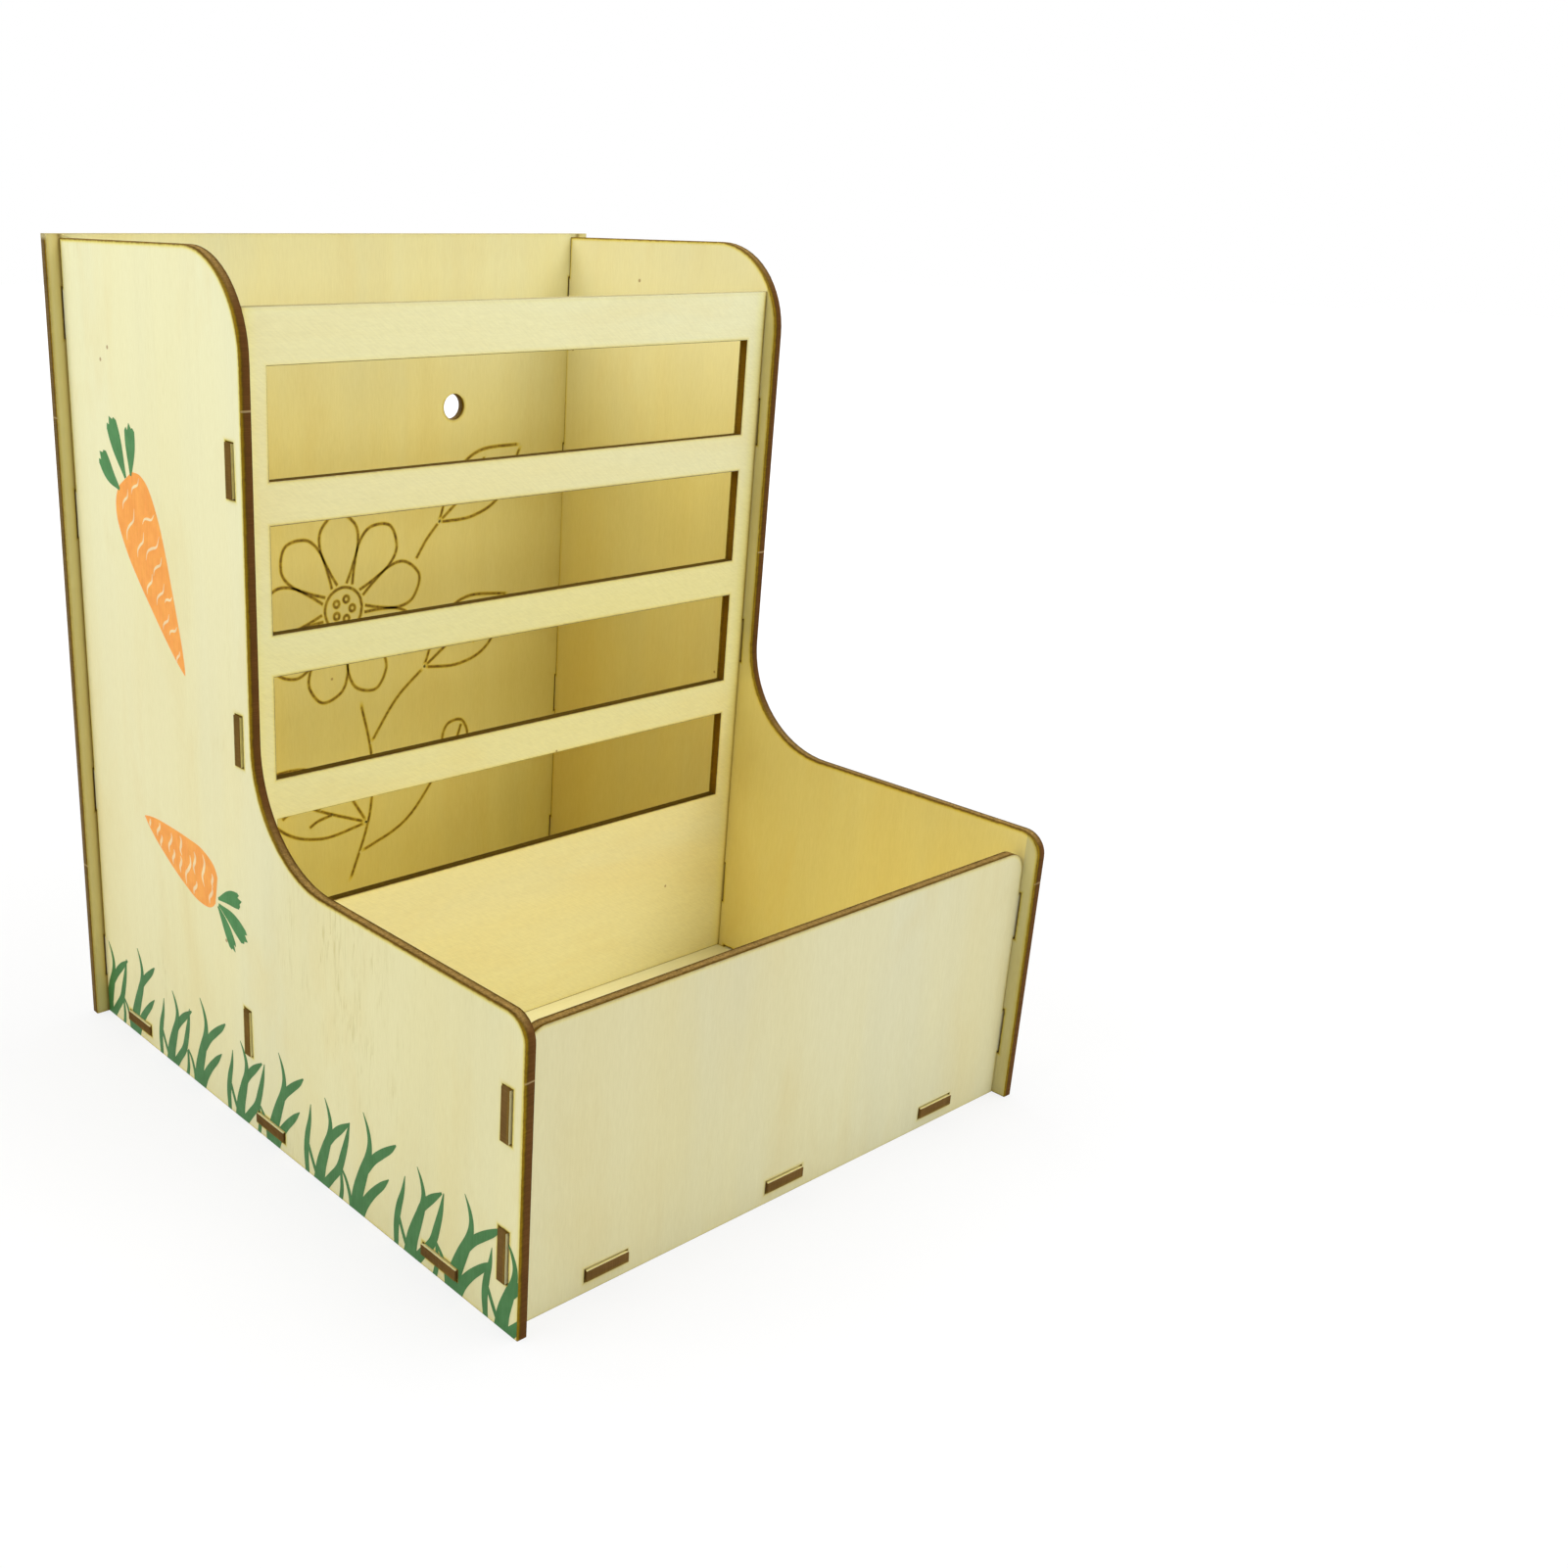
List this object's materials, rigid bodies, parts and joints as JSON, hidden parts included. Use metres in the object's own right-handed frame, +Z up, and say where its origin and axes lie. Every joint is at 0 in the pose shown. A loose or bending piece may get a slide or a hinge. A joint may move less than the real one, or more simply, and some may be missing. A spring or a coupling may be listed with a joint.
{
  "type": "hay feeder box",
  "caption": "Plywood hay feeder for small pets: a tall open-topped hay bin behind a slatted rack, over a low open trough, with holes to hang it by.",
  "frame": {"origin": "on the ground, under the middle of the box (centre of the bounding box's bottom)", "axes": "+Z up, the open front of the trough faces -Y, the back panel faces +Y, +X to the right seen from the front"},
  "size_m": [0.167, 0.176, 0.2],
  "materials": {
    "side_ply": "bare basswood plywood, laser-cut edges, printed leaves and roots on the outer faces",
    "back_ply": "bare basswood plywood, laser-cut edges, burnt-line engraving inside",
    "rack_ply": "bare basswood plywood, laser-cut edges",
    "front_ply": "bare basswood plywood, laser-cut edges",
    "floor_ply": "bare basswood plywood, laser-cut edges"
  },
  "bodies": {
    "root": {"side_left": "side_ply", "side_right": "side_ply", "back_panel": "back_ply", "rack_panel": "rack_ply", "front_panel": "front_ply", "floor_panel": "floor_ply"}
  },
  "joints": []
}
